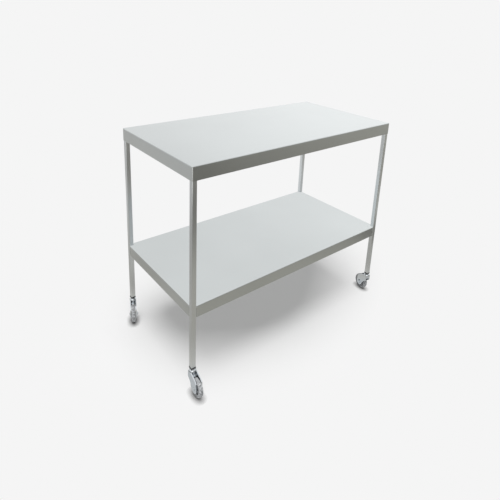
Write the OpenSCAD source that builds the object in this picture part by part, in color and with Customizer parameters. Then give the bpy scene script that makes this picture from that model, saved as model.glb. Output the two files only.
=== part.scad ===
// Two-tier stainless instrument cart on four swivel stem casters.
// Millimetres, +Z up, floor at z = 0, long side along X, front face towards -Y.

/* [Cart] */
// Length of the top, along X
top_l = 1016; // [600:1:1500]
// Depth of the top, along Y
top_d = 508; // [350:1:800]
// Working height, floor to top surface
height = 856; // [700:1:1000]
// Distance from the top surface down to the lower shelf surface
tier_gap = 506; // [300:1:650]

/* [Sheet] */
// Thickness of the stainless sheet
sheet = 1.2; // [0.8:0.1:2]
// Depth of the apron folded down around the top
top_apron = 49.5; // [30:0.5:80]
// Depth of the apron folded down around the lower shelf
shelf_apron = 44.5; // [25:0.5:70]
// Outside radius of the folded edges
bend_r = 3.4; // [2:0.1:4]
// Outside radius of the welded and ground corners
corner_r = 3; // [1.4:0.1:3.4]
// Width of the flange returned inward at the foot of each apron
return_w = 10; // [6:0.5:20]
// How far the lower shelf sits inside the outer faces of the legs
shelf_inset = 1.2; // [0:0.1:4]

/* [Legs] */
// Outside width of the square leg tube
leg_w = 18; // [14:0.1:30]
// Wall of the leg tube
leg_wall = 1.2; // [1:0.1:2]
// Outside corner radius of the leg tube
leg_r = 2.2; // [1.8:0.1:4]
// Height of the open end of the leg above the floor
leg_end_z = 101.5; // [100:0.5:120]

/* [Stiffeners] */
// Overall width of the hat section
hat_w = 68; // [50:1:100]
// Height of the hat section
hat_h = 22; // [12:1:30]
// Distance of each hat section from the centre line
hat_y = 120; // [80:1:180]
// Distance from the end of each hat section to the end of the top
hat_end = 30; // [22:1:60]

/* [Casters] */
// Wheel diameter over the tyre
wheel_d = 70; // [60:1:72]
// Tyre width
tyre_w = 15.5; // [12:0.5:17]
// Distance from the swivel axis to the wheel axis
trail = 31.5; // [24:0.5:38]
// Space between the inner faces of the fork legs
fork_gap = 18.4; // [18:0.1:22]
// Thickness of each fork leg
fork_t = 4; // [2.5:0.1:6]
// Diameter of the swivel barrel on the fork
barrel_d = 25.6; // [25:0.1:26]
// Diameter of the grip stem in the leg
stem_d = 11; // [8:0.1:13]
// Diameter of the axle bolt
axle_d = 8; // [6:0.1:10]
// Radial running clearance of stem and wheel
run_fit = 0.05; // [0.02:0.01:0.1]

/* [Resting swivel angles] */
// Trail direction of the front left caster, from +X
turn_fl = -92; // [-180:1:180]
// Trail direction of the front right caster, from +X
turn_fr = 79; // [-180:1:180]
// Trail direction of the rear left caster, from +X
turn_rl = -113; // [-180:1:180]
// Trail direction of the rear right caster, from +X
turn_rr = 70; // [-180:1:180]

/* [Hidden] */
$fn = 64;

steel = [0.72, 0.73, 0.72];
chrome = [0.80, 0.81, 0.82];
dark = [0.16, 0.16, 0.17];
grey = [0.62, 0.63, 0.63];
rubber = [0.46, 0.46, 0.45];

// Leg axes
leg_x = top_l / 2 - sheet - leg_w / 2;
leg_y = top_d / 2 - sheet - leg_w / 2;
// Inner faces of the legs
in_x = leg_x - leg_w / 2;
in_y = leg_y - leg_w / 2;
shelf_z = height - tier_gap;
// Outer faces of the lower shelf
shelf_x = leg_x + leg_w / 2 - shelf_inset;
shelf_y = leg_y + leg_w / 2 - shelf_inset;
// Clearance left at the notches and the ends of the flanges
slack = 0.1;

// Caster heights
flange_t = 5.5;
stem_tip = leg_end_z + 36;
shoulder_z = leg_end_z - flange_t - 1.5;
cap_z = shoulder_z - 2.6;
barrel_top = cap_z - 0.4;
wheel_r = wheel_d / 2;
half_gap = fork_gap / 2;
half_out = half_gap + fork_t;
barrel_r = barrel_d / 2;
arch_z = wheel_d + 1.4 - half_gap;
// Round of the barrel's upper edge
barrel_f = 7;
king_r = 4.25;
ball_d = 2.8;
ball_pitch = king_r + ball_d / 2 + 0.35;
ball_n = 11;
pocket_r = ball_pitch + ball_d / 2 + 0.2;
upper_floor = barrel_top - ball_d - 0.4;
lower_roof = wheel_d + 10;
washer_z = lower_roof - ball_d - 2;
eye_r = 16.5;

// Fork plate outline: upright leading edge, sloping top, tangents down to the eye
ear_top = barrel_top - 5;
ear_r = 4;
lead_x = -8.5;
lead = [lead_x, wheel_r + 26];
brow = [6, ear_top];
crest = [trail + 4.5, wheel_d + 2.5];
tail = [trail + 14.5, wheel_d - 7];
eye = [trail, wheel_r];
lead_v = eye - lead;
lead_a = atan2(lead_v[1], lead_v[0]) - asin(eye_r / norm(lead_v));
lead_len = sqrt(norm(lead_v) * norm(lead_v) - eye_r * eye_r);
lead_t = lead + lead_len * [cos(lead_a), sin(lead_a)];
tail_v = eye - tail;
tail_a = atan2(tail_v[1], tail_v[0]) + asin(eye_r / norm(tail_v));
tail_len = sqrt(norm(tail_v) * norm(tail_v) - eye_r * eye_r);
tail_t = tail + tail_len * [cos(tail_a), sin(tail_a)];
// Hollow curve cut into the leading edge
lead_sag = 4;
lead_h = lead_len / 2 - 2.5;
lead_r = (lead_h * lead_h + lead_sag * lead_sag) / (2 * lead_sag);
lead_c = (lead + lead_t) / 2 + (lead_r - lead_sag) * [sin(lead_a), -cos(lead_a)];
// Top of the bridge between the plates and its trailing end
bridge_z = wheel_d + 6;
bridge_x = trail - 11.5;

// Rectangle centred on the origin with all four corners rounded
module rounded(w, h, r) {
    square([w - 2 * r, h], center = true);
    square([w, h - 2 * r], center = true);
    for (sx = [-1, 1])
        for (sy = [-1, 1])
            translate([sx * (w / 2 - r), sy * (h / 2 - r)])
                circle(r);
}

// Upright side view of a folded sheet: rounded at the top edge only
module folded(w, h, r) {
    translate([-w / 2 + r, -h])
        square([w - 2 * r, h]);
    translate([-w / 2, -h])
        square([w, h - r]);
    for (sx = [-1, 1])
        translate([sx * (w / 2 - r), -r])
            circle(r);
}

// Solid block under z = 0 with folded top edges and ground corners
module block(w, d, h, r, corner) {
    intersection() {
        rotate([90, 0, 0])
            linear_extrude(d + 2, center = true)
                folded(w, h, r);
        rotate([90, 0, 90])
            linear_extrude(w + 2, center = true)
                folded(d, h, r);
        translate([0, 0, -h])
            linear_extrude(h)
                rounded(w, d, corner);
    }
}

// Flanges returned inward at the foot of the aprons, between the legs
module returns(w, d, z, reach_x, reach_y) {
    for (s = [-1, 1]) {
        translate([-reach_x, s > 0 ? d / 2 - sheet - return_w : -d / 2 + sheet, z])
            cube([2 * reach_x, return_w, sheet]);
        translate([s > 0 ? w / 2 - sheet - return_w : -w / 2 + sheet, -reach_y, z])
            cube([return_w, 2 * reach_y, sheet]);
    }
}

// Hat-shaped stiffener running along X under a sheet at height z
module hat(length, z) {
    w = hat_w / 2;
    c = w - 14;
    t = sheet;
    translate([-length / 2, 0, z])
        rotate([90, 0, 90])
            linear_extrude(length)
                polygon([[-w, 0], [-c, 0], [-c + 3, -hat_h + t], [c - 3, -hat_h + t], [c, 0], [w, 0],
                    [w, -t], [c + t, -t], [c - 3 + t, -hat_h], [-c + 3 - t, -hat_h], [-c - t, -t], [-w, -t]]);
}

// Upright quarter-round weld bead in the corner towards +X +Y
module bead(r, h) {
    intersection() {
        cylinder(r = r, h = h);
        cube([r, r, h]);
    }
}

// Put children at one corner: sx, sy are the signs of X and Y
module corner(sx, sy) {
    translate([sx * leg_x, sy * leg_y, 0])
        children();
}

// Put children in the frame of one caster, its trail along local +X
module caster(sx, sy, turn) {
    corner(sx, sy)
        rotate([0, 0, turn])
            children();
}

module top_pan() {
    color(steel)
        translate([0, 0, height]) {
            difference() {
                block(top_l, top_d, top_apron, bend_r, corner_r);
                translate([0, 0, -sheet])
                    block(top_l - 2 * sheet, top_d - 2 * sheet, top_apron, bend_r - sheet, corner_r - sheet);
            }
            returns(top_l, top_d, -top_apron, in_x - 1, in_y - 1);
        }
}

module shelf_pan() {
    color(steel)
        translate([0, 0, shelf_z])
            difference() {
                union() {
                    difference() {
                        block(2 * shelf_x, 2 * shelf_y, shelf_apron, bend_r, corner_r);
                        translate([0, 0, -sheet])
                            block(2 * shelf_x - 2 * sheet, 2 * shelf_y - 2 * sheet, shelf_apron,
                                bend_r - sheet, corner_r - sheet);
                    }
                    returns(2 * shelf_x, 2 * shelf_y, -shelf_apron, in_x - 1, in_y - 1);
                }
                for (sx = [-1, 1])
                    for (sy = [-1, 1])
                        translate([sx > 0 ? in_x - slack : -in_x + slack - 40,
                            sy > 0 ? in_y - slack : -in_y + slack - 40, -shelf_apron - 1])
                            cube([40, 40, shelf_apron + 2]);
            }
}

module top_stiffener(side) {
    color(steel)
        translate([0, side * hat_y, 0])
            hat(top_l - 2 * hat_end, height - sheet);
}

module shelf_stiffener(side) {
    color(steel)
        translate([0, side * hat_y, 0])
            hat(top_l - 2 * hat_end, shelf_z - sheet);
}

// Fillets that hold the four legs inside the aprons
module welds(apron_x, apron_y, z, h) {
    color(steel)
        for (mx = [0, 1])
            for (my = [0, 1])
                mirror([mx, 0, 0])
                    mirror([0, my, 0]) {
                        translate([-in_x, -apron_y, z])
                            bead(2.4, h);
                        translate([-apron_x, -in_y, z])
                            bead(2.4, h);
                    }
}

module top_welds() {
    welds(top_l / 2 - sheet, top_d / 2 - sheet, height - top_apron + 6, top_apron - 12);
}

module shelf_welds() {
    welds(shelf_x - sheet, shelf_y - sheet, shelf_z - shelf_apron + 6, shelf_apron - 11);
}

module leg(sx, sy) {
    color(steel)
        corner(sx, sy)
            translate([0, 0, leg_end_z])
                linear_extrude(height - bend_r - leg_end_z)
                    difference() {
                        rounded(leg_w, leg_w, leg_r);
                        rounded(leg_w - 2 * leg_wall, leg_w - 2 * leg_wall, leg_r - leg_wall);
                    }
}

// Moulded insert that turns the square tube into a round stem socket
module socket(sx, sy) {
    plug = leg_w - 2 * leg_wall - 0.04;
    lip = leg_w + 1.5;
    color(dark)
        corner(sx, sy)
            difference() {
                union() {
                    translate([0, 0, leg_end_z - flange_t])
                        linear_extrude(flange_t)
                            rounded(lip, lip, leg_r + 0.7);
                    translate([0, 0, leg_end_z])
                        linear_extrude(41)
                            rounded(plug, plug, leg_r - leg_wall);
                }
                translate([0, 0, leg_end_z - flange_t - 1])
                    cylinder(d = stem_d + 0.1, h = stem_tip - leg_end_z + flange_t + 1.3);
            }
}

// Kingpin: grip stem above, shoulder, swivel journal and riveted foot below
module stem(sx, sy) {
    color(chrome)
        corner(sx, sy) {
            difference() {
                union() {
                    translate([0, 0, shoulder_z])
                        cylinder(d = stem_d, h = stem_tip - 3 - shoulder_z);
                    translate([0, 0, stem_tip - 3])
                        cylinder(d1 = stem_d, d2 = stem_d - 3, h = 3);
                }
                translate([0, 0, stem_tip - 11])
                    difference() {
                        cylinder(d = stem_d + 2, h = 3);
                        translate([0, 0, -1])
                            cylinder(d = stem_d - 2, h = 5);
                    }
            }
            translate([0, 0, shoulder_z])
                cylinder(d = 15, h = 1.5);
            translate([0, 0, washer_z - 1])
                cylinder(r = king_r, h = shoulder_z - washer_z + 1.5);
            // Lower race washer and the riveted foot under it
            translate([0, 0, washer_z])
                cylinder(r = pocket_r - 0.3, h = 1.5);
            translate([0, 0, washer_z - 2])
                cylinder(r1 = 5, r2 = 6.2, h = 2.2);
        }
}

// Split spring ring that holds the stem in its socket
module grip_ring(sx, sy) {
    color(chrome)
        corner(sx, sy)
            translate([0, 0, leg_end_z + 25.1])
                difference() {
                    cylinder(d = stem_d + 0.08, h = 2.8);
                    translate([0, 0, -1])
                        cylinder(d = stem_d - 1.96, h = 5);
                    translate([0, -0.7, -1])
                        cube([10, 1.4, 5]);
                }
}

// Pressed dust cap over the upper ball race
module race_cap(sx, sy) {
    color(chrome)
        corner(sx, sy)
            difference() {
                union() {
                    translate([0, 0, cap_z])
                        cylinder(d = 18, h = 1.2);
                    translate([0, 0, cap_z + 1.2])
                        cylinder(d1 = 18, d2 = 15, h = 1.4);
                }
                translate([0, 0, cap_z - 1])
                    cylinder(r = king_r + 0.02, h = 5);
            }
}

// Two rings of balls, above and below the middle web of the barrel
module race_balls(sx, sy, turn) {
    color(chrome)
        caster(sx, sy, turn)
            for (z = [upper_floor + ball_d / 2 + 0.1, lower_roof - ball_d / 2 - 0.1])
                for (i = [0 : ball_n - 1])
                    rotate([0, 0, i * 360 / ball_n])
                        translate([ball_pitch, 0, z])
                            sphere(d = ball_d, $fn = 24);
}

// Outline of a fork plate in the plane of the wheel
module fork_side() {
    difference() {
        union() {
            polygon([lead, lead_t, eye, tail_t, tail, crest, brow, [lead_x + ear_r, ear_top],
                [lead_x + ear_r, ear_top - ear_r], [lead_x, ear_top - ear_r]]);
            translate([lead_x + ear_r, ear_top - ear_r])
                circle(ear_r);
            translate(eye)
                circle(eye_r);
        }
        translate(lead_c)
            circle(lead_r, $fn = 240);
    }
}

// Round-topped space over the wheel, seen along the trail
module arch() {
    circle(half_gap);
    translate([-half_gap, -80])
        square([fork_gap, 80]);
}

// Half section of the swivel barrel, with a full round at its upper edge
module barrel() {
    round_z = barrel_top - barrel_f + 0.5;
    translate([0, bridge_z - 3])
        square([barrel_r, round_z - bridge_z + 3]);
    translate([0, bridge_z])
        square([barrel_r - barrel_f, barrel_top - bridge_z]);
    intersection() {
        translate([barrel_r - barrel_f, round_z])
            circle(barrel_f);
        translate([0, bridge_z])
            square([barrel_r, barrel_top - bridge_z]);
    }
}

// Pressed yoke: two broad plates, the bridge over the wheel and the swivel barrel
module fork(sx, sy, turn) {
    color(chrome)
        caster(sx, sy, turn)
            difference() {
                union() {
                    difference() {
                        rotate([90, 0, 0])
                            linear_extrude(2 * half_out, center = true)
                                fork_side();
                        translate([-60, 0, arch_z])
                            rotate([90, 0, 90])
                                linear_extrude(160)
                                    arch();
                        // Space between the plates above the bridge
                        rotate([90, 0, 0])
                            linear_extrude(fork_gap, center = true)
                                polygon([[-60, bridge_z], [bridge_x - 14, bridge_z], [bridge_x, bridge_z - 1.2],
                                    [bridge_x, 50], [120, 50], [120, 120], [-60, 120]]);
                    }
                    rotate_extrude()
                        barrel();
                }
                // Swivel journal and the two ball pockets
                translate([0, 0, lower_roof - 20])
                    cylinder(r = king_r + run_fit, h = 60);
                translate([0, 0, upper_floor])
                    cylinder(r = pocket_r, h = 10);
                translate([0, 0, lower_roof - 14])
                    cylinder(r = pocket_r, h = 14);
                // Axle holes
                translate([trail, 0, wheel_r])
                    rotate([90, 0, 0])
                        cylinder(d = axle_d + 0.2, h = 60, center = true);
            }
}

// Axle bolt with a low domed head on the right of the trail direction
module axle(sx, sy, turn) {
    color(chrome)
        caster(sx, sy, turn)
            translate([trail, 0, wheel_r])
                rotate([90, 0, 0]) {
                    translate([0, 0, -half_out - 6.6])
                        cylinder(d = axle_d, h = 2 * half_out + 7.2);
                    translate([0, 0, half_out])
                        intersection() {
                            cylinder(d = 14, h = 3.2);
                            translate([0, 0, -7.2])
                                sphere(r = 10.4);
                        }
                }
}

// Hexagon lock nut with a domed collar
module axle_nut(sx, sy, turn) {
    color(chrome)
        caster(sx, sy, turn)
            translate([trail, 0, wheel_r])
                rotate([-90, 0, 0])
                    difference() {
                        union() {
                            translate([0, 0, half_out])
                                cylinder(d = 13.6, h = 4, $fn = 6);
                            translate([0, 0, half_out + 4])
                                cylinder(d1 = 11.4, d2 = 9.8, h = 1.8);
                        }
                        translate([0, 0, half_out - 1])
                            cylinder(d = axle_d + 0.02, h = 10);
                    }
}

// Steel sleeve clamped between the fork legs; the wheel runs on it
module sleeve(sx, sy, turn) {
    color(chrome)
        caster(sx, sy, turn)
            translate([trail, 0, wheel_r])
                rotate([90, 0, 0])
                    difference() {
                        cylinder(d = 11, h = fork_gap - 0.04, center = true);
                        cylinder(d = axle_d + 0.06, h = 40, center = true);
                    }
}

// Moulded wheel centre: hub, web, ribs and rim with a key ring for the tyre
module wheel_core(sx, sy, turn) {
    rim = wheel_r - 8;
    color(grey)
        caster(sx, sy, turn)
            translate([trail, 0, wheel_r])
                rotate([90, 0, 0])
                    difference() {
                        union() {
                            cylinder(d = 19, h = 2 * half_gap - 1.2, center = true);
                            cylinder(r = rim, h = 4, center = true);
                            cylinder(r = rim + 1.5, h = 5, center = true);
                            difference() {
                                cylinder(r = rim, h = tyre_w - 1.5, center = true);
                                cylinder(r = rim - 3.5, h = 40, center = true);
                            }
                            for (i = [0 : 4])
                                rotate([0, 0, i * 72])
                                    translate([8, -1.1, -tyre_w / 2 + 1.6])
                                        cube([rim - 10, 2.2, tyre_w - 3.2]);
                        }
                        cylinder(d = 11 + 2 * run_fit, h = 40, center = true);
                    }
}

// Soft tyre with a crowned tread and rounded shoulders
module tyre(sx, sy, turn) {
    rim = wheel_r - 8;
    w = tyre_w / 2;
    color(rubber)
        caster(sx, sy, turn)
            translate([trail, 0, wheel_r])
                rotate([90, 0, 0])
                    difference() {
                        rotate_extrude($fn = 96)
                            intersection() {
                                union() {
                                    translate([rim, -w])
                                        square([4, tyre_w]);
                                    translate([rim + 4, -w + 3.4])
                                        square([4.6, tyre_w - 6.8]);
                                    for (s = [-1, 1])
                                        translate([rim + 4, s * (w - 3.4)])
                                            circle(3.4);
                                }
                                translate([wheel_r - 26, 0])
                                    circle(26, $fn = 160);
                            }
                        cylinder(r = rim + 1.5, h = 5, center = true);
                    }
}

top_pan();
shelf_pan();
top_stiffener(-1);  // top_stiffener_front
top_stiffener(1);  // top_stiffener_rear
shelf_stiffener(-1);  // shelf_stiffener_front
shelf_stiffener(1);  // shelf_stiffener_rear
top_welds();
shelf_welds();
leg(-1, -1);  // leg_fl
leg(1, -1);  // leg_fr
leg(-1, 1);  // leg_rl
leg(1, 1);  // leg_rr
socket(-1, -1);  // socket_fl
socket(1, -1);  // socket_fr
socket(-1, 1);  // socket_rl
socket(1, 1);  // socket_rr
stem(-1, -1);  // stem_fl
stem(1, -1);  // stem_fr
stem(-1, 1);  // stem_rl
stem(1, 1);  // stem_rr
grip_ring(-1, -1);  // grip_ring_fl
grip_ring(1, -1);  // grip_ring_fr
grip_ring(-1, 1);  // grip_ring_rl
grip_ring(1, 1);  // grip_ring_rr
race_cap(-1, -1);  // race_cap_fl
race_cap(1, -1);  // race_cap_fr
race_cap(-1, 1);  // race_cap_rl
race_cap(1, 1);  // race_cap_rr
race_balls(-1, -1, turn_fl);  // race_balls_fl
race_balls(1, -1, turn_fr);  // race_balls_fr
race_balls(-1, 1, turn_rl);  // race_balls_rl
race_balls(1, 1, turn_rr);  // race_balls_rr
fork(-1, -1, turn_fl);  // fork_fl
fork(1, -1, turn_fr);  // fork_fr
fork(-1, 1, turn_rl);  // fork_rl
fork(1, 1, turn_rr);  // fork_rr
axle(-1, -1, turn_fl);  // axle_fl
axle(1, -1, turn_fr);  // axle_fr
axle(-1, 1, turn_rl);  // axle_rl
axle(1, 1, turn_rr);  // axle_rr
axle_nut(-1, -1, turn_fl);  // axle_nut_fl
axle_nut(1, -1, turn_fr);  // axle_nut_fr
axle_nut(-1, 1, turn_rl);  // axle_nut_rl
axle_nut(1, 1, turn_rr);  // axle_nut_rr
sleeve(-1, -1, turn_fl);  // sleeve_fl
sleeve(1, -1, turn_fr);  // sleeve_fr
sleeve(-1, 1, turn_rl);  // sleeve_rl
sleeve(1, 1, turn_rr);  // sleeve_rr
wheel_core(-1, -1, turn_fl);  // wheel_core_fl
wheel_core(1, -1, turn_fr);  // wheel_core_fr
wheel_core(-1, 1, turn_rl);  // wheel_core_rl
wheel_core(1, 1, turn_rr);  // wheel_core_rr
tyre(-1, -1, turn_fl);  // tyre_fl
tyre(1, -1, turn_fr);  // tyre_fr
tyre(-1, 1, turn_rl);  // tyre_rl
tyre(1, 1, turn_rr);  // tyre_rr
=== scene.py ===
"""Looks of a two-tier stainless instrument cart on swivel casters.

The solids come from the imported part. This file gives them their finishes, adds the
fine work of the welder and the moulder, and sets the stage around them. Lengths are
in metres: +X runs to the right, +Y to the rear and +Z up.
"""

import math

import bmesh
import bpy
from mathutils import Matrix, Vector


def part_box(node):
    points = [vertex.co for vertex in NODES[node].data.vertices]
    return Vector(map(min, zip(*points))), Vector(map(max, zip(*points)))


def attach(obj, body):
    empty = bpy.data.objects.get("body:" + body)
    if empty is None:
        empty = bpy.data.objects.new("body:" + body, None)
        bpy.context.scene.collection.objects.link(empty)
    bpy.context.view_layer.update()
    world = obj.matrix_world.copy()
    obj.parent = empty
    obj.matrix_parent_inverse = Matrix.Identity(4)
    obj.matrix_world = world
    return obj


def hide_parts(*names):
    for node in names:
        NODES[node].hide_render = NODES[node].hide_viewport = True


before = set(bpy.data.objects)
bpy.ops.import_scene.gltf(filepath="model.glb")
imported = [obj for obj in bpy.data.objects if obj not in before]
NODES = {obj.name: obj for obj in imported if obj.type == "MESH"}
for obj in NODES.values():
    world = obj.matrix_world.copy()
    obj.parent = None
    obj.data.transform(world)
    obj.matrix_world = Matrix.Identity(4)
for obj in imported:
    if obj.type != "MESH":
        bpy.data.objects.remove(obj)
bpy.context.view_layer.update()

bl_info = {
    "name": "Instrument Cart",
    "version": (1, 0, 0),
    "blender": (4, 5, 0),
    "location": "3D View > Sidebar > Cart",
    "description": "Finishes and fine details of a two-tier stainless instrument cart",
    "category": "Object",
}

CORNERS = ("fl", "fr", "rl", "rr")
TIERS = ("top", "shelf")
TOP_LOW, TOP_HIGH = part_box("top_pan")
SHELF_LOW, SHELF_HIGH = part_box("shelf_pan")
LEG_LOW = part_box("leg_rr")[0]

# Thickness of the sheet that the pans and stiffeners are folded from
SHEET = 0.0012
# Streaks per metre along and across the brushing of the steel
GRAIN_ALONG = 9
GRAIN_ACROSS = 2600
WHITE = (1, 1, 1, 1)


class CartFinish(bpy.types.PropertyGroup):
    """Colours and grain of the cart's materials"""

    steel: bpy.props.FloatVectorProperty(
        name="Stainless", description="Colour of the brushed sheet",
        default=(0.620, 0.650, 0.652), subtype="COLOR", size=3, min=0, max=1)
    tube: bpy.props.FloatVectorProperty(
        name="Tube", description="Colour of the drawn leg tubes",
        default=(0.755, 0.788, 0.806), subtype="COLOR", size=3, min=0, max=1)
    steel_roughness: bpy.props.FloatProperty(
        name="Satin", description="Roughness of the brushed sheet and tube",
        default=0.29, min=0, max=1, subtype="FACTOR")
    plating: bpy.props.FloatVectorProperty(
        name="Plating", description="Colour of the bright plating on the casters",
        default=(0.67, 0.705, 0.735), subtype="COLOR", size=3, min=0, max=1)
    insert: bpy.props.FloatVectorProperty(
        name="Insert", description="Colour of the moulded inserts in the leg ends",
        default=(0.045, 0.045, 0.05), subtype="COLOR", size=3, min=0, max=1)
    wheel_centre: bpy.props.FloatVectorProperty(
        name="Wheel centre", description="Colour of the moulded wheel centres",
        default=(0.52, 0.535, 0.55), subtype="COLOR", size=3, min=0, max=1)
    tread: bpy.props.FloatVectorProperty(
        name="Tread", description="Colour of the soft grey tyres",
        default=(0.45, 0.462, 0.475), subtype="COLOR", size=3, min=0, max=1)


class CartDetail(bpy.types.PropertyGroup):
    """Sizes of the welds and of the rounded edges"""

    bead_radius: bpy.props.FloatProperty(
        name="Bead", description="Reach of the weld beads inside the aprons",
        default=0.0024, min=0.0005, max=0.003, precision=4, unit="LENGTH")
    seam_radius: bpy.props.FloatProperty(
        name="Seam", description="Reach of the fine seams where the shelf meets the legs",
        default=0.001, min=0.0003, max=0.0012, precision=4, unit="LENGTH")
    ripple: bpy.props.FloatProperty(
        name="Ripple", description="Distance between two ripples of a bead",
        default=0.0016, min=0.0008, max=0.004, precision=4, unit="LENGTH")
    spot_count: bpy.props.IntProperty(
        name="Spot welds", description="Number of spot welds in a row", default=14, min=2, max=40)
    edge_round: bpy.props.FloatProperty(
        name="Edge round", description="Round on the edges of the small caster pieces",
        default=0.0004, min=0, max=0.001, precision=4, unit="LENGTH")
    fork_round: bpy.props.FloatProperty(
        name="Fork round", description="Round on the edges of the forks",
        default=0.0009, min=0, max=0.0015, precision=4, unit="LENGTH")


class CartStage(bpy.types.PropertyGroup):
    """Camera, floor and light"""

    ground: bpy.props.FloatVectorProperty(
        name="Ground", description="Colour of the pale floor and of the backdrop behind it",
        default=(0.913, 0.913, 0.913), subtype="COLOR", size=3, min=0, max=1)
    ground_glow: bpy.props.FloatProperty(
        name="Ground glow", description="Share of the ground that shadows leave untouched",
        default=0.255, min=0, max=1, subtype="FACTOR")
    sun_strength: bpy.props.FloatProperty(
        name="Overhead strength", description="Strength of the overhead light",
        default=2.555, min=0, max=10)
    sun_spread: bpy.props.FloatProperty(
        name="Overhead spread", description="Apparent width of the overhead light",
        default=math.radians(38), min=0, max=math.pi, subtype="ANGLE")
    dome_strength: bpy.props.FloatProperty(
        name="Dome strength", description="Strength of the light from all round",
        default=0.2, min=0, max=2)
    lens: bpy.props.FloatProperty(
        name="Lens", description="Focal length of the camera in millimetres",
        default=32.2085, min=10, max=200)
    camera_shift: bpy.props.FloatProperty(
        name="Vertical shift", description="Rise or fall of the camera's film",
        default=-0.234, min=-0.5, max=0.5)
    camera_place: bpy.props.FloatVectorProperty(
        name="Camera place", description="Where the camera stands",
        default=(-1.18532, -1.34446, 1.33681), subtype="TRANSLATION", unit="LENGTH", size=3)
    camera_turn: bpy.props.FloatProperty(
        name="Camera turn", description="Turn of the camera about Z, away from the front",
        default=math.radians(-39.4752), subtype="ANGLE")
    camera_rise: bpy.props.FloatProperty(
        name="Camera rise", description="Angle at which the camera looks down",
        default=math.radians(16.0914), subtype="ANGLE")
    camera_roll: bpy.props.FloatProperty(
        name="Camera roll", description="Turn of the camera about its line of sight",
        default=math.radians(2.3622), subtype="ANGLE")


def middle(node):
    """Middle of a solid's box"""
    low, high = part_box(node)
    return (Vector(low) + Vector(high)) / 2


def shade(colour, factor):
    """Lighter or darker version of a colour"""
    return tuple(min(1.0, channel * factor) for channel in colour)


class Nodes:
    """Lays out the nodes of one shader tree"""

    def __init__(self, tree):
        self.tree = tree

    def add(self, kind, **values):
        """Adds a node and sets its own values"""
        made = self.tree.nodes.new(kind)
        for key, value in values.items():
            setattr(made, key, value)
        return made

    def feed(self, socket, value):
        """Links a socket to an output, or sets it to a fixed value"""
        if isinstance(value, bpy.types.NodeSocket):
            self.tree.links.new(value, socket)
        else:
            socket.default_value = value

    def math(self, operation, *values):
        """Result of one sum on numbers or outputs"""
        made = self.add("ShaderNodeMath", operation=operation)
        for socket, value in zip(made.inputs, values):
            self.feed(socket, value)
        return made.outputs["Value"]

    def chain(self, operation, first, *others):
        """Result of the same sum on several values in turn"""
        for other in others:
            first = self.math(operation, first, other)
        return first

    def vector(self, operation, *values):
        """Outputs of one sum on vectors"""
        made = self.add("ShaderNodeVectorMath", operation=operation)
        for socket, value in zip(made.inputs, values):
            self.feed(socket, value)
        return made.outputs

    def split(self, vector):
        """X, Y and Z of a vector"""
        made = self.add("ShaderNodeSeparateXYZ")
        self.feed(made.inputs["Vector"], vector)
        return made.outputs

    def spread(self, value, low, high, start=0.0, end=1.0):
        """Runs from low to high while a value runs from start to end"""
        made = self.add("ShaderNodeMapRange")
        self.feed(made.inputs["Value"], value)
        self.feed(made.inputs["From Min"], start)
        self.feed(made.inputs["From Max"], end)
        self.feed(made.inputs["To Min"], low)
        self.feed(made.inputs["To Max"], high)
        return made.outputs["Result"]

    def between(self, value, rise, fall):
        """One inside a stretch of a value and zero outside it, with soft ends"""
        up = self.spread(value, 0.0, 1.0, *rise)
        down = self.spread(value, 1.0, 0.0, *fall)
        return self.math("MULTIPLY", up, down)

    def blend(self, factor, first, second, **kind):
        """Mix of two numbers or two colours"""
        made = self.add("ShaderNodeMix", **kind)
        self.feed(made.inputs["Factor"], factor)
        self.feed(made.inputs["A"], first)
        self.feed(made.inputs["B"], second)
        return made.outputs["Result"]

    def blend_shaders(self, factor, first, second):
        """Mix of two shaders"""
        made = self.add("ShaderNodeMixShader")
        for socket, value in zip(made.inputs, (factor, first, second)):
            self.feed(socket, value)
        return made.outputs["Shader"]

    def light(self, kind, colour, strength):
        """Output of an emission or background node"""
        made = self.add(kind)
        self.feed(made.inputs["Color"], colour)
        self.feed(made.inputs["Strength"], strength)
        return made.outputs[0]

    def ray(self, *kinds):
        """Whether a ray is of one of the kinds that the light path names"""
        path = self.add("ShaderNodeLightPath")
        return self.chain("MAXIMUM", *(path.outputs["Is " + kind + " Ray"] for kind in kinds))


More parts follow.
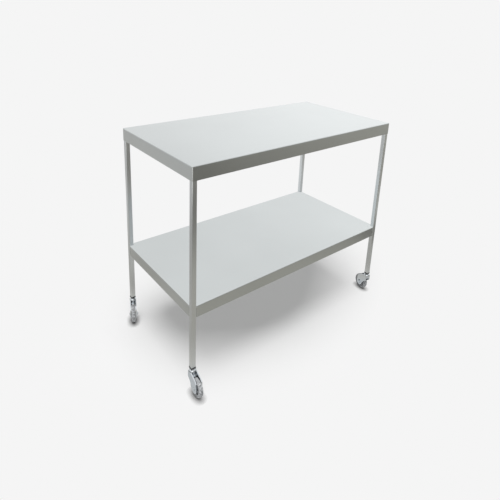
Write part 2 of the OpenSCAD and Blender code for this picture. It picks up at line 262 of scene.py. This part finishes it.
class Look(Nodes):
    """One material, laid out round its main surface shader"""

    def __init__(self, name):
        self.material = bpy.data.materials.new(name)
        self.material.use_nodes = True
        super().__init__(self.material.node_tree)
        self.surface = self.tree.nodes["Principled BSDF"]
        self.coords = self.add("ShaderNodeTexCoord")

    def give(self, name, value):
        """Sets one input of the main surface shader"""
        self.feed(self.surface.inputs[name], value)

    def show(self, shader):
        """Shows another shader in place of the main one"""
        self.feed(self.tree.nodes["Material Output"].inputs["Surface"], shader)

    def noise(self, scale, stretch=(1, 1, 1), detail=2.0, roughness=0.55):
        """Cloudy pattern fixed to the object"""
        mapping = self.add("ShaderNodeMapping")
        self.feed(mapping.inputs["Scale"], stretch)
        self.feed(mapping.inputs["Vector"], self.coords.outputs["Object"])
        made = self.add("ShaderNodeTexNoise")
        self.feed(made.inputs["Vector"], mapping.outputs["Vector"])
        self.feed(made.inputs["Scale"], scale)
        self.feed(made.inputs["Detail"], detail)
        self.feed(made.inputs["Roughness"], roughness)
        return made.outputs["Fac"]

    def tint(self, cloud, low, high, start=0.3, end=0.7):
        """Colour that follows a cloudy pattern from low to high"""
        ramp = self.add("ShaderNodeValToRGB")
        stops = ramp.color_ramp.elements
        for stop, colour, position in zip(stops, (low, high), (start, end)):
            stop.color = (*colour, 1)
            stop.position = position
        self.feed(ramp.inputs["Fac"], cloud)
        return ramp.outputs["Color"]

    def openness(self, reach, samples):
        """How open a place is: one on a free face, less in gaps and inner corners"""
        made = self.add("ShaderNodeAmbientOcclusion", samples=samples)
        self.feed(made.inputs["Distance"], reach)
        return made.outputs["AO"]

    def painted_crease_shade(self, colour, depth, reach=0.006):
        """Paints shade into a colour in gaps and inner corners, down to the given share"""
        share = self.spread(self.openness(reach, samples=8), depth, 1.0, start=0.3, end=0.95)
        return self.blend(1.0, colour, share, data_type="RGBA", blend_type="MULTIPLY")

    def bump(self, height, strength, distance):
        """Raises and sinks the surface by a pattern"""
        made = self.add("ShaderNodeBump")
        self.feed(made.inputs["Strength"], strength)
        self.feed(made.inputs["Distance"], distance)
        self.feed(made.inputs["Height"], height)
        self.give("Normal", made.outputs["Normal"])


def brushed_sheet(name, colour, roughness):
    """Satin stainless sheet: grain along X, turned along Y on the end aprons"""
    look = Look(name)
    along_x = look.noise(1.0, (GRAIN_ALONG, GRAIN_ACROSS, GRAIN_ACROSS))
    along_y = look.noise(1.0, (GRAIN_ACROSS, GRAIN_ALONG, GRAIN_ACROSS))
    facing = look.split(look.coords.outputs["Normal"])
    end_face = look.math("GREATER_THAN", look.math("ABSOLUTE", facing["X"]), 0.7)
    grain = look.blend(end_face, along_x, along_y)
    drift = look.noise(2.3)
    streaks = look.spread(grain, roughness - 0.025, roughness + 0.025)
    patches = look.spread(drift, -0.02, 0.02)
    look.give("Metallic", 1.0)
    look.give("Base Color", look.tint(drift, shade(colour, 0.97), shade(colour, 1.03)))
    look.give("Roughness", look.math("ADD", streaks, patches))
    look.bump(grain, strength=0.01, distance=0.0001)
    return look.material


def brushed_tube(name, colour, roughness):
    """Satin stainless tube with its grain along Z"""
    look = Look(name)
    grain = look.noise(1.0, (GRAIN_ACROSS, GRAIN_ACROSS, GRAIN_ALONG))
    drift = look.noise(6.0, (1, 1, 0.3))
    round_tube = look.add("ShaderNodeTangent", direction_type="RADIAL", axis="Z")
    look.give("Metallic", 1.0)
    look.give("Base Color", look.tint(drift, shade(colour, 0.96), shade(colour, 1.03)))
    look.give("Roughness", look.spread(grain, roughness - 0.05, roughness + 0.05))
    look.give("Anisotropic", 0.75)
    look.give("Tangent", round_tube.outputs["Tangent"])
    look.bump(grain, strength=0.015, distance=0.0001)
    return look.material


def bright_plating(name, colour):
    """Chrome plate with a faint orange peel, a few hazy patches and painted shade in its gaps and creases"""
    look = Look(name)
    haze = look.noise(90.0, detail=3.0)
    plate = look.tint(haze, shade(colour, 0.94), shade(colour, 1.03))
    look.give("Metallic", 1.0)
    # Painted shade: the plate's colour darkens in its gaps and creases
    look.give("Base Color", look.painted_crease_shade(plate, depth=0.4))
    look.give("Roughness", look.spread(haze, 0.06, 0.16))
    look.bump(look.noise(260.0), strength=0.05, distance=0.0003)
    return look.material


def moulded(name, colour, roughness, grain, depth, patches=45.0, contrast=0.1):
    """Moulded plastic or rubber with a fine spark texture and painted shade in its gaps and corners"""
    look = Look(name)
    cloud = look.noise(patches, detail=3.0)
    body = look.tint(cloud, shade(colour, 1 - contrast), shade(colour, 1 + contrast))
    # Painted shade: the colour darkens in gaps and corners
    look.give("Base Color", look.painted_crease_shade(body, depth=0.5))
    look.give("Roughness", look.spread(cloud, roughness - 0.06, roughness + 0.08))
    look.bump(look.noise(grain, detail=4.0), strength=0.25, distance=depth)
    return look.material


class PaintedReflectionCard(Look):
    """Grey glowing sheet just above the floor, seen only in the metal; its light and dark places are painted
    reflections that give the metal its tones
    """

    def __init__(self):
        super().__init__("painted_reflection_card")
        self.place = self.coords.outputs["Object"]
        split = self.split(self.place)
        self.across = split["X"]
        self.along = split["Y"]
        self.to_caster = self.caster_distance()
        self.behind = self.behind_cart()
        # Painted reflections: the card's strength is set place by place, with bright patches and dim bands
        strength = self.chain(
            "ADD", self.level(), self.rear(), self.near_casters(), self.before_corner(),
            self.front_band(), self.under_cart(), self.math("MULTIPLY", self.behind, 0.42))
        self.show(self.light("ShaderNodeEmission", self.hue(), strength))

    def caster_distance(self):
        """Distance to the nearest leg's axis"""
        leg = middle("leg_rr")
        aside = self.math("SUBTRACT", self.math("ABSOLUTE", self.across), leg.x)
        ahead = self.math("SUBTRACT", self.math("ABSOLUTE", self.along), leg.y)
        squares = self.math("ADD", self.math("MULTIPLY", aside, aside), self.math("MULTIPLY", ahead, ahead))
        return self.math("SQRT", squares)

    def behind_cart(self):
        """Share of the place behind and beside the rear right leg"""
        diagonal = self.math("ADD", self.across, self.math("MULTIPLY", self.along, 1.2))
        from_middle = self.vector("LENGTH", self.place)["Value"]
        return self.math("MULTIPLY", self.spread(diagonal, 0.0, 1.0, start=0.1, end=0.9),
                         self.spread(from_middle, 1.0, 0.0, start=1.5, end=2.2))

    def level(self):
        """Plain grey, darker far in front and least so on the right"""
        far_front = self.spread(self.across, 0.163, 0.425, start=0.5, end=3.2)
        toward_cart = self.spread(self.along, 0.0, 1.0, start=-1.7, end=-0.8)
        return self.blend(toward_cart, far_front, 0.41)

    def rear(self):
        """A little lighter toward the rear"""
        return self.spread(self.along, 0.0, 0.14, start=0.3, end=1.3)

    def near_casters(self):
        """Lighter round the casters"""
        return self.spread(self.to_caster, 0.22, 0.0, start=0.06, end=0.28)

    def before_corner(self):
        """A bright patch that the front left corner faces, and a dim ring inside it"""
        outward = self.vector("SUBTRACT", self.place, (*TOP_LOW[:2], 0))["Vector"]
        bearing = self.vector("NORMALIZE", outward)["Vector"]
        ahead = self.vector("DOT_PRODUCT", bearing, (-0.62, -0.78, 0))["Value"]
        far = self.vector("LENGTH", outward)["Value"]
        patch = self.math("MULTIPLY", self.spread(ahead, 0.0, 1.1, start=0.6, end=0.85),
                          self.between(far, (1.5, 1.9), (3.0, 3.6)))
        dim = self.math("MULTIPLY", self.between(far, (0.8, 1.2), (1.6, 2.2)), -0.07)
        return self.math("ADD", patch, dim)

    def front_band(self):
        """A band that the lower apron mirrors, with a dark end by the front right leg"""
        stretch = self.between(self.along, (-0.85, -0.7), (-0.5, -0.4))
        light = self.spread(self.across, 0.0, 0.035, start=0.1, end=0.3)
        dark = self.spread(self.across, 0.0, -0.41, start=0.8, end=1.05)
        right_end = self.spread(self.across, 1.0, 0.0, start=1.1, end=1.3)
        return self.chain("MULTIPLY", stretch, self.math("ADD", light, dark), right_end)

    def under_cart(self):
        """Dimmer along the middle under the cart"""
        centre_line = self.spread(self.math("ABSOLUTE", self.along), -0.06, 0.0, start=0.05, end=0.22)
        return self.math("MULTIPLY", centre_line, self.spread(self.across, 0.0, 1.0, start=-0.55, end=-0.45))

    def hue(self):
        """Warm, most of all in front; nearly neutral far left; cool behind and at the casters"""
        from_front = self.spread(self.along, 0.0, 1.0, start=-0.55, end=-0.4)
        warm = self.blend(from_front, (1.04, 1.0, 0.895, 1), (1.03, 1.0, 0.93, 1), data_type="RGBA")
        left = self.spread(self.across, 1.0, 0.0, start=-1.6, end=-1.0)
        sides = self.blend(left, warm, (1.01, 0.997, 0.978, 1), data_type="RGBA")
        at_caster = self.spread(self.to_caster, 1.0, 0.0, start=0.09, end=0.13)
        cool = self.math("MAXIMUM", self.behind, at_caster)
        return self.blend(cool, sides, (0.985, 1.0, 1.0, 1), data_type="RGBA")


def dress(node, material):
    """Gives a solid its material"""
    mesh = NODES[node].data
    mesh.materials.clear()
    mesh.materials.append(material)


def soften(node, width):
    """Breaks the sharp edges of a solid by a small round"""
    solid = NODES[node]
    joined = solid.modifiers.new("join", "WELD")
    joined.merge_threshold = 0.00001
    edge = solid.modifiers.new("edge", "BEVEL")
    edge.width = width
    edge.segments = 2
    edge.limit_method = "ANGLE"
    edge.angle_limit = math.radians(35)
    edge.harden_normals = True


def mesh_object(name, work, material):
    """Turns a finished bmesh into an object of the scene"""
    mesh = bpy.data.meshes.new(name)
    work.to_mesh(mesh)
    work.free()
    mesh.materials.append(material)
    made = bpy.data.objects.new(name, mesh)
    bpy.context.scene.collection.objects.link(made)
    return made


def piece_from(name, work, body, material):
    """Turns a finished bmesh into a smooth piece that rides on a body"""
    bmesh.ops.recalc_face_normals(work, faces=work.faces)
    for face in work.faces:
        face.smooth = True
    piece = mesh_object(name, work, material)
    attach(piece, body)
    return piece


def stage_piece(name, work, material):
    """Turns a finished bmesh into a part of the stage"""
    piece = mesh_object(name, work, material)
    return piece


def reflection_only(piece):
    """Leaves a stage card to be seen in shiny surfaces alone"""
    piece.visible_camera = False
    piece.visible_diffuse = False
    piece.visible_shadow = False
    piece.visible_transmission = False


def lathe(work, profile, place, segments):
    """Turns a closed profile of (radius, offset) points about the local Z axis"""
    rings = []
    for i in range(segments):
        angle = 2 * math.pi * i / segments
        spin = Vector((math.cos(angle), math.sin(angle), 0))
        points = [place @ (radius * spin + Vector((0, 0, offset))) for radius, offset in profile]
        rings.append([work.verts.new(point) for point in points])
    count = len(profile)
    for i in range(segments):
        here = rings[i]
        there = rings[(i + 1) % segments]
        for j in range(count):
            k = (j + 1) % count
            work.faces.new((here[j], there[j], there[k], here[k]))


def lay_bead(work, foot, along_u, along_v, length, radius, ripple):
    """Adds an upright rippled fillet to a bmesh, in the corner between two walls"""
    steps_per_ripple = 5
    sides = 7
    blunt_end = 0.35
    end_length = 0.002
    lag = 1.9
    swell = 0.1
    sunk = 0.00005 * (along_u + along_v)
    steps = int(length / ripple * steps_per_ripple)
    rings = []
    for i in range(steps + 1):
        height = length * i / steps
        root = foot + Vector((0, 0, height))
        to_end = min(height, length - height)
        taper = min(1.0, blunt_end + (1 - blunt_end) * to_end / end_length)
        ring = [work.verts.new(root - sunk)]
        for j in range(sides):
            angle = math.pi / 2 * j / (sides - 1)
            wave = math.cos(2 * math.pi * height / ripple - lag * math.sin(2 * angle))
            reach = radius * taper * (1 - swell + swell * wave)
            out = math.cos(angle) * along_u + math.sin(angle) * along_v
            ring.append(work.verts.new(root + reach * out))
        rings.append(ring)
    for lower, upper in zip(rings, rings[1:]):
        for j in range(sides + 1):
            k = (j + 1) % (sides + 1)
            work.faces.new((lower[j], lower[k], upper[k], upper[j]))
    work.faces.new(rings[0])
    work.faces.new(rings[-1])


def bead_group(name, feet, bottom, length, radius, material):
    """Beads on all four corners; each foot is a place on the rear right one and its open sides"""
    ripple = bpy.context.scene.cart_detail.ripple
    work = bmesh.new()
    for x, y, open_x, open_y in feet:
        for side_x in (-1, 1):
            for side_y in (-1, 1):
                foot = Vector((side_x * x, side_y * y, bottom))
                along_u = Vector((side_x * open_x, 0, 0))
                along_v = Vector((0, side_y * open_y, 0))
                lay_bead(work, foot, along_u, along_v, length, radius, ripple)
    return piece_from(name, work, "frame", material)


class CART_OT_stage(bpy.types.Operator):
    """Pale floor, soft light and the camera"""

    bl_idname = "cart.stage"
    bl_label = "Set the stage"

    def execute(self, context):
        scene = context.scene
        settings = scene.cart_stage
        scene.view_settings.view_transform = "Standard"
        self.camera(scene, settings)
        self.floor(settings)
        self.painted_reflection_card()
        self.softbox()
        self.dome(scene, settings)
        self.overhead(scene, settings)
        return {"FINISHED"}

    def camera(self, scene, settings):
        """Camera that looks down at the front left corner"""
        data = bpy.data.cameras.new("camera")
        data.sensor_width = 36
        data.lens = settings.lens
        data.shift_y = settings.camera_shift
        camera = bpy.data.objects.new("camera", data)
        scene.collection.objects.link(camera)
        turn = settings.camera_turn
        rise = settings.camera_rise
        roll = settings.camera_roll
        back = Vector((math.sin(turn) * math.cos(rise), -math.cos(turn) * math.cos(rise), math.sin(rise)))
        right = (-back).cross(Vector((0, 0, 1))).normalized()
        up = right.cross(-back)
        side = math.cos(roll) * right + math.sin(roll) * up
        lift = math.cos(roll) * up - math.sin(roll) * right
        pose = Matrix((side, lift, back)).transposed().to_4x4()
        pose.translation = Vector(settings.camera_place)
        camera.matrix_world = pose
        scene.camera = camera

    def disc(self, name, material, radius, height):
        """Round flat sheet with its middle under the cart"""
        work = bmesh.new()
        bmesh.ops.create_circle(work, cap_ends=True, segments=128, radius=radius)
        bmesh.ops.translate(work, vec=(0, 0, height), verts=work.verts)
        return stage_piece(name, work, material)

    def floor(self, settings):
        """Matt floor with a painted contact shadow close to the wheels, and a shadow that a painted glow
        fades toward its ends
        """
        look = Look("pale_floor")
        # Painted contact shadow: the floor's colour and glow darken close to the wheels
        painted_contact_shadow = look.math("POWER", look.openness(reach=0.024, samples=16), 2.2)
        ground = look.add("ShaderNodeVectorMath", operation="SCALE")
        look.feed(ground.inputs[0], settings.ground)
        look.feed(ground.inputs["Scale"], painted_contact_shadow)
        look.give("Base Color", ground.outputs["Vector"])
        look.give("Roughness", 1.0)
        look.give("Specular IOR Level", 0.0)
        # A painted glow, the share that shadows leave untouched, grows outward and lightens the shadow's
        # ends, so the shadow is rounder than the sheets
        place = look.split(look.coords.outputs["Object"])
        outward = 0.0
        for axis, centre, half in (("X", 0.025, 0.54), ("Y", 0.11, 0.345)):
            away = look.math("ABSOLUTE", look.math("SUBTRACT", place[axis], centre))
            outward = look.math("ADD", look.math("POWER", look.math("DIVIDE", away, half), 1.3), outward)
        untouched = look.spread(outward, settings.ground_glow, 1.0, start=0.75, end=2.25)
        share = look.math("MULTIPLY", look.ray("Glossy", "Transmission", "Camera"), untouched)
        glow = look.light("ShaderNodeEmission", (*settings.ground, 1), painted_contact_shadow)
        look.show(look.blend_shaders(share, look.surface.outputs["BSDF"], glow))
        look.material.cycles.emission_sampling = "NONE"
        self.disc("floor", look.material, radius=40.0, height=0.0)

    def painted_reflection_card(self):
        """Sheet of painted reflections just above the floor that shows only in the metal"""
        card = self.disc("painted_reflection_card", PaintedReflectionCard().material, radius=30.0, height=0.001)
        reflection_only(card)

    def softbox(self):
        """Bright square behind the camera that gives the plated parts their highlights"""
        place = Vector((-1.7, -1.9, 2.6))
        half = 0.45
        strength = 5.0
        look = Look("softbox")
        look.show(look.light("ShaderNodeEmission", WHITE, strength))
        work = bmesh.new()
        bmesh.ops.create_grid(work, x_segments=1, y_segments=1, size=half)
        box = stage_piece("softbox", work, look.material)
        box.matrix_world = Matrix.Translation(place) @ place.to_track_quat("Z", "Y").to_matrix().to_4x4()
        reflection_only(box)

    def dome(self, scene, settings):
        """Even light for matt surfaces, a room for the metal and a pale backdrop"""
        world = bpy.data.worlds.new("studio")
        scene.world = world
        world.use_nodes = True
        world.cycles.sampling_method = "NONE"
        nodes = Nodes(world.node_tree)
        nodes.tree.nodes.clear()
        even = nodes.light("ShaderNodeBackground", WHITE, settings.dome_strength)
        room = nodes.light("ShaderNodeBackground", WHITE, self.room(nodes))
        backdrop = nodes.light("ShaderNodeBackground", (*settings.ground, 1), 1.0)
        lit = nodes.blend_shaders(nodes.ray("Glossy", "Transmission"), even, room)
        seen = nodes.blend_shaders(nodes.ray("Camera"), lit, backdrop)
        nodes.feed(nodes.add("ShaderNodeOutputWorld").inputs["Surface"], seen)

    def room(self, nodes):
        """Strength of the room by direction"""
        direction = nodes.add("ShaderNodeTexCoord").outputs["Generated"]

        def toward(bearing, low, high, start, end):
            """Light that changes as a direction turns toward a bearing"""
            turned = nodes.vector("DOT_PRODUCT", direction, bearing)["Value"]
            return nodes.spread(turned, low, high, start, end)

        upward = (0, 0, 1)
        right_side = toward((0.764, -0.014, -0.645), low=0.973, high=1.27, start=0.143, end=0.366)
        near_wall = toward((-0.62, -0.78, -1.2), low=0.0, high=0.8, start=0.5, end=0.85)
        dark_side = toward((0.48, -0.82, -0.6), low=0.0, high=-0.85, start=0.45, end=0.7)
        # A slightly dim band goes all round, between these two heights
        band_foot = toward(upward, low=0.0, high=-0.055, start=0.28, end=0.40)
        band_head = toward(upward, low=0.0, high=0.055, start=0.42, end=0.50)
        return nodes.chain("ADD", right_side, near_wall, dark_side, band_foot, band_head)

    def overhead(self, scene, settings):
        """Wide soft lamp, a little to the left and front of straight above"""
        lean_x = math.radians(-8)
        lean_y = math.radians(-4)
        lamp = bpy.data.lights.new("overhead", "SUN")
        lamp.energy = settings.sun_strength
        lamp.angle = settings.sun_spread
        lamp_object = bpy.data.objects.new("overhead", lamp)
        scene.collection.objects.link(lamp_object)
        toward = Vector((math.tan(lean_x), math.tan(lean_y), 1))
        lamp_object.visible_glossy = False
        lamp_object.matrix_world = toward.to_track_quat("Z", "Y").to_matrix().to_4x4()


class CART_OT_sheet_metal(bpy.types.Operator):
    """Brushed finish of the top, the lower shelf and their stiffeners"""

    bl_idname = "cart.sheet_metal"
    bl_label = "Finish the sheet metal"

    def execute(self, context):
        finish = context.scene.cart_finish
        count = context.scene.cart_detail.spot_count
        sheet = brushed_sheet("brushed_sheet", tuple(finish.steel), finish.steel_roughness)
        inner = brushed_sheet("mill_finish", shade(finish.steel, 0.9), finish.steel_roughness + 0.08)
        for tier in TIERS:
            dress(tier + "_pan", sheet)
            for side in ("front", "rear"):
                stiffener = tier + "_stiffener_" + side
                dress(stiffener, inner)
                self.spot_welds(stiffener, tier + "_spots_" + side, count, inner)
        # The top stays out of what the shelf mirrors
        for node in ("top_pan", "top_stiffener_front", "top_stiffener_rear"):
            NODES[node].visible_glossy = False
        return {"FINISHED"}

    def spot_welds(self, node, name, count, material):
        """Rows of pressed spots along both flanges of a stiffener"""
        low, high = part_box(node)
        from_end = 0.025
        from_edge = 0.007
        under = high[2] - SHEET
        pitch = (high[0] - low[0] - 2 * from_end) / (count - 1)
        # A flat middle inside a low rim, as (radius, height) from the flange
        profile = [(0.0003, 0.00005), (0.0003, -0.00004), (0.0015, -0.00006), (0.0021, -0.00022),
                   (0.0027, -0.00024), (0.0032, -0.00008), (0.0034, 0.00005)]
        work = bmesh.new()
        for y in (low[1] + from_edge, high[1] - from_edge):
            for i in range(count):
                x = low[0] + from_end + pitch * i
                lathe(work, profile, Matrix.Translation((x, y, under)), segments=20)
        piece_from(name, work, "frame", material)


class CART_OT_legs(bpy.types.Operator):
    """Brushed tube legs, their welds and the moulded inserts"""

    bl_idname = "cart.legs"
    bl_label = "Finish the legs"

    def execute(self, context):
        finish = context.scene.cart_finish
        detail = context.scene.cart_detail
        tube = brushed_tube("brushed_tube", tuple(finish.tube), finish.steel_roughness)
        insert = moulded("nylon_insert", tuple(finish.insert), roughness=0.45, grain=700.0, depth=0.0002)
        for corner in CORNERS:
            dress("leg_" + corner, tube)
            NODES["leg_" + corner].visible_glossy = False
            dress("socket_" + corner, insert)
            soften("socket_" + corner, detail.edge_round)
        bead = brushed_tube("weld_bead", shade(finish.tube, 0.86), 0.26)
        self.beads(detail.bead_radius, bead)
        self.seams(detail.seam_radius, bead)
        return {"FINISHED"}

    def beads(self, radius, material):
        """Rippled beads inside the aprons, along both walls at each leg"""
        for tier, outer in zip(TIERS, (TOP_HIGH, SHELF_HIGH)):
            node = tier + "_welds"
            low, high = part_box(node)
            wall_x = outer[0] - SHEET
            wall_y = outer[1] - SHEET
            feet = ((LEG_LOW[0], wall_y, -1, -1), (wall_x, LEG_LOW[1], -1, -1))
            beads = bead_group(tier + "_beads", feet, low[2], high[2] - low[2], radius, material)
            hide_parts(node)

    def seams(self, radius, material):
        """Fine seams outside, where the shelf's aprons meet the legs"""
        above_foot = 0.002
        below_bend = 0.005
        bottom = SHELF_LOW[2] + above_foot
        length = SHELF_HIGH[2] - below_bend - bottom
        feet = ((LEG_LOW[0], SHELF_HIGH[1], -1, 1), (SHELF_HIGH[0], LEG_LOW[1], 1, -1))
        bead_group("shelf_seams", feet, bottom, length, radius, material)


class CART_OT_casters(bpy.types.Operator):
    """Plated casters with grey wheels"""

    bl_idname = "cart.casters"
    bl_label = "Finish the casters"

    def execute(self, context):
        finish = context.scene.cart_finish
        detail = context.scene.cart_detail
        plating = bright_plating("bright_plating", tuple(finish.plating))
        centre = moulded("wheel_centre_grey", tuple(finish.wheel_centre),
                         roughness=0.42, grain=500.0, depth=0.0002)
        tread = moulded("tread_grey", tuple(finish.tread),
                        roughness=0.45, grain=900.0, depth=0.0003, patches=260.0, contrast=0.75)
        plated = ("stem", "grip_ring", "race_cap", "race_balls", "fork", "axle", "axle_nut", "sleeve")
        for corner in CORNERS:
            for piece in plated:
                dress(piece + "_" + corner, plating)
            dress("wheel_core_" + corner, centre)
            soften("fork_" + corner, detail.fork_round)
            for piece in ("race_cap", "axle", "axle_nut", "wheel_core"):
                soften(piece + "_" + corner, detail.edge_round)
            self.tyre(corner, tread)
        return {"FINISHED"}

    def tyre(self, corner, material):
        """Moulded tyre with a crowned tread, a mould line and a groove in each side"""
        node = "tyre_" + corner
        low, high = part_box(node)
        radius = (high[2] - low[2]) / 2
        centre = middle(node)
        spindle = middle("leg_" + corner)
        trail = Vector((centre.x - spindle.x, centre.y - spindle.y, 0)).normalized()
        axle = Vector((-trail.y, trail.x, 0))
        place = Matrix.Translation(centre) @ axle.to_track_quat("Z", "Y").to_matrix().to_4x4()
        half = self.half_profile(radius)
        other_half = [(reach, -offset) for reach, offset in reversed(half)]
        work = bmesh.new()
        lathe(work, half + other_half, place, segments=96)
        made = piece_from("tread_" + corner, work, "wheel_" + corner, material)
        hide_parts(node)

    def half_profile(self, radius):
        """One side of the tyre as (radius, offset) points, from the wheel centre out to the middle line"""
        width = 0.0155
        thickness = 0.008
        shoulder = 0.0034
        shoulder_foot = 0.004
        shoulder_turn = 0.86 * math.pi / 2
        shoulder_steps = 6
        crown = 0.026
        mould_line_height = 0.0001
        mould_line_half = 0.00015
        half_width = width / 2
        rim = radius - thickness
        # The side wall with its groove: height above the rim, and depth below the side face
        side_wall = ((0.0002, 0.0006), (0.0006, 0.0001), (0.0014, 0.0),
                     (0.0017, 0.0005), (0.0023, 0.0005), (0.0026, 0.0))
        half = [(rim + height, half_width - depth) for height, depth in side_wall]
        for i in range(shoulder_steps + 1):
            angle = shoulder_turn * i / shoulder_steps
            half.append((rim + shoulder_foot + shoulder * math.sin(angle),
                         half_width - shoulder + shoulder * math.cos(angle)))
        for offset in (0.0032, 0.0024, 0.0016, 0.0008, 0.0003):
            fall = crown - math.sqrt(crown * crown - offset * offset)
            half.append((radius - mould_line_height - fall, offset))
        half.append((radius, mould_line_half))
        return half


class CART_PT_panel(bpy.types.Panel):
    """Sidebar panel with the cart's settings and steps"""

    bl_idname = "CART_PT_panel"
    bl_label = "Instrument Cart"
    bl_space_type = "VIEW_3D"
    bl_region_type = "UI"
    bl_category = "Cart"

    def draw(self, context):
        layout = self.layout
        scene = context.scene
        for group in (scene.cart_finish, scene.cart_detail, scene.cart_stage):
            for setting in group.__annotations__:
                layout.prop(group, setting)
        for step in STEPS:
            layout.operator(step.bl_idname)


STEPS = (CART_OT_stage, CART_OT_sheet_metal, CART_OT_legs, CART_OT_casters)
CLASSES = (CartFinish, CartDetail, CartStage, *STEPS, CART_PT_panel)


def register():
    for cls in CLASSES:
        bpy.utils.register_class(cls)
    bpy.types.Scene.cart_finish = bpy.props.PointerProperty(type=CartFinish)
    bpy.types.Scene.cart_detail = bpy.props.PointerProperty(type=CartDetail)
    bpy.types.Scene.cart_stage = bpy.props.PointerProperty(type=CartStage)


def unregister():
    del bpy.types.Scene.cart_stage
    del bpy.types.Scene.cart_detail
    del bpy.types.Scene.cart_finish
    for cls in reversed(CLASSES):
        bpy.utils.unregister_class(cls)


def main():
    register()
    bpy.ops.cart.stage()
    bpy.ops.cart.sheet_metal()
    bpy.ops.cart.legs()
    bpy.ops.cart.casters()


if __name__ == "__main__":
    main()
